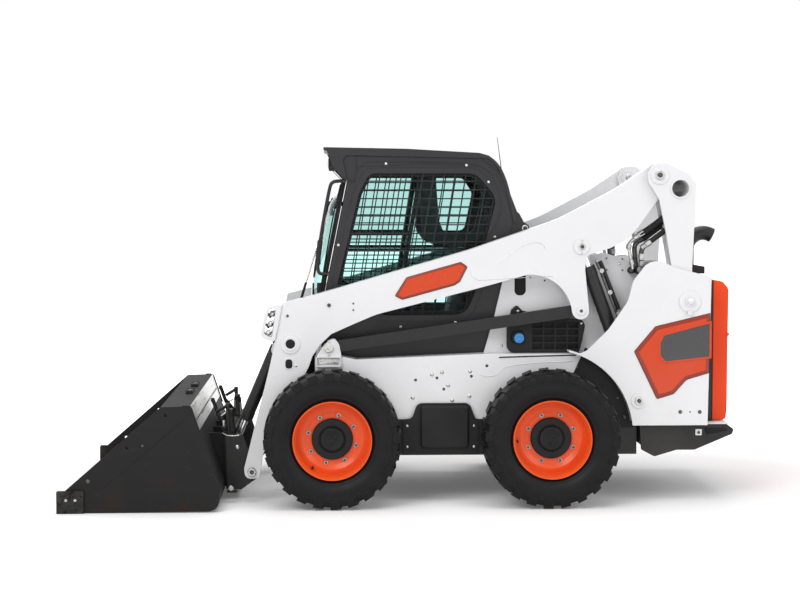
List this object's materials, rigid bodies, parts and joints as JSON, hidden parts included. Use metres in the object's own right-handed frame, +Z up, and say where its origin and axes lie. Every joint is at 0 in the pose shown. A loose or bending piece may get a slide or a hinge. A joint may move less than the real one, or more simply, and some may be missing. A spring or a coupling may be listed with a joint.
{
  "type": "skid steer loader",
  "caption": "Compact wheeled loader with vertical-lift arms, enclosed cab, quick coupler and smooth bucket; wheels, arms, bucket, cab door and tailgate move.",
  "frame": {"origin": "on the ground under the middle of the machine's bounding box", "axes": "+Z up, -X the way the machine faces, -Y its left side"},
  "size_m": [3.9641, 1.88, 2.1899],
  "materials": {
    "white_paint": "gloss enamel",
    "charcoal_paint": "satin enamel",
    "black_paint": "satin enamel",
    "bucket_paint": "scuffed black enamel",
    "orange_paint": "gloss enamel",
    "engine_paint": "engine enamel",
    "black_plastic": "moulded",
    "tinted_glass": "tinted safety glass",
    "seat_vinyl": "vinyl",
    "red_lens": "moulded lens",
    "chrome_rod": "hard chrome",
    "worn_steel": "ground and worn",
    "tyre_rubber": "moulded rubber"
  },
  "bodies": {
    "chassis": {"main_frame": "white_paint", "chain_cases": "black_paint", "axle_housings": "black_paint", "engine_block": "engine_paint", "side_covers": "black_plastic", "upright_right": "white_paint", "upright_left": "white_paint", "link_brackets": "white_paint", "intake_grilles": "black_plastic", "engine_hood": "black_paint", "tail_frame": "black_paint", "rear_bumper": "black_paint", "exhaust_pipe": "black_paint", "cab_shell": "charcoal_paint", "cab_roof": "charcoal_paint", "cab_windows": "tinted_glass", "seat": "seat_vinyl", "seat_base": "black_plastic", "control_levers": "black_plastic", "lap_bar": "black_paint", "antenna": "black_plastic"},
    "front_door": {"door_frame": "charcoal_paint", "door_glass": "tinted_glass"},
    "tailgate": {"tailgate": "orange_paint", "tail_lights": "red_lens"},
    "control_links": {"control_links": "black_paint"},
    "rear_links": {"rear_link_right": "white_paint", "rear_link_left": "white_paint", "rear_cross_tube": "white_paint"},
    "lift_arm": {"lift_arm_right": "white_paint", "lift_arm_left": "white_paint", "torque_tube": "white_paint", "aux_coupler_block": "white_paint"},
    "lift_barrels": {"lift_barrels": "black_paint"},
    "lift_rods": {"lift_rods": "chrome_rod"},
    "tilt_barrels": {"tilt_barrels": "black_paint"},
    "tilt_rods": {"tilt_rods": "chrome_rod"},
    "bucket": {"quick_coupler": "black_paint", "bucket_shell": "bucket_paint", "cutting_edge": "worn_steel"},
    "wheel_front_left": {"tyre_front_left": "tyre_rubber", "rim_front_left": "orange_paint"},
    "wheel_front_right": {"tyre_front_right": "tyre_rubber", "rim_front_right": "orange_paint"},
    "wheel_rear_left": {"tyre_rear_left": "tyre_rubber", "rim_rear_left": "orange_paint"},
    "wheel_rear_right": {"tyre_rear_right": "tyre_rubber", "rim_rear_right": "orange_paint"}
  },
  "joints": [
    {"name": "lift", "type": "hinge", "parent": "rear_links", "child": "lift_arm", "pos_m": [1.521, 0, 1.933], "axis": [0, 1, 0], "range_deg": [0, 60.85]},
    {"name": "rear_link_swing", "type": "hinge", "parent": "chassis", "child": "rear_links", "pos_m": [1.703, 0, 1.19], "axis": [0, 1, 0], "range_deg": [-0.5, 3.01]},
    {"name": "control_link_swing", "type": "hinge", "parent": "chassis", "child": "control_links", "pos_m": [-0.429, 0, 0.914], "axis": [0, -1, 0], "range_deg": [-0.5, 37.5]},
    {"name": "lift_barrel_swing", "type": "hinge", "parent": "chassis", "child": "lift_barrels", "pos_m": [1.404, 0, 0.601], "axis": [0, 1, 0], "range_deg": [-0.5, 5.4]},
    {"name": "lift_rod_slide", "type": "slide", "parent": "lift_barrels", "child": "lift_rods", "axis": [-0.3479, 0, 0.9375], "range_m": [-0.002, 0.6479]},
    {"name": "tilt", "type": "hinge", "parent": "lift_arm", "child": "bucket", "pos_m": [-0.885, 0, 0.18], "axis": [0, -1, 0], "range_deg": [-28, 105]},
    {"name": "tilt_barrel_swing", "type": "hinge", "parent": "lift_arm", "child": "tilt_barrels", "pos_m": [-0.755, 0, 0.88], "axis": [0, -1, 0], "range_deg": [-1.48, 4.17]},
    {"name": "tilt_rod_slide", "type": "slide", "parent": "tilt_barrels", "child": "tilt_rods", "axis": [-0.3919, 0, -0.92], "range_m": [-0.0779, 0.2866]},
    {"name": "front_door", "type": "hinge", "parent": "chassis", "child": "front_door", "pos_m": [-0.469, 0.4, 1.25], "axis": [-0.1947, 0, -0.9809], "range_deg": [0, 90]},
    {"name": "tailgate", "type": "hinge", "parent": "chassis", "child": "tailgate", "pos_m": [1.879, 0.514, 0.9], "axis": [0, 0, 1], "range_deg": [0, 100]},
    {"name": "wheel_front_left", "type": "hinge", "parent": "chassis", "child": "wheel_front_left", "pos_m": [-0.409, -0.75, 0.4], "axis": [0, -1, 0], "continuous": true},
    {"name": "wheel_front_right", "type": "hinge", "parent": "chassis", "child": "wheel_front_right", "pos_m": [-0.409, 0.75, 0.4], "axis": [0, -1, 0], "continuous": true},
    {"name": "wheel_rear_left", "type": "hinge", "parent": "chassis", "child": "wheel_rear_left", "pos_m": [0.866, -0.75, 0.4], "axis": [0, -1, 0], "continuous": true},
    {"name": "wheel_rear_right", "type": "hinge", "parent": "chassis", "child": "wheel_rear_right", "pos_m": [0.866, 0.75, 0.4], "axis": [0, -1, 0], "continuous": true}
  ],
  "couplings": [
    {"joint": "rear_link_swing", "follows": "lift", "ratio": 0.041282},
    {"joint": "control_link_swing", "follows": "lift", "ratio": 0.60805},
    {"joint": "lift_barrel_swing", "follows": "lift", "ratio": 0.080517},
    {"joint": "lift_rod_slide", "follows": "lift", "m_per_rad": 0.60634},
    {"joint": "tilt_barrel_swing", "follows": "tilt", "ratio": 0.034965},
    {"joint": "tilt_rod_slide", "follows": "tilt", "m_per_rad": 0.15532}
  ]
}
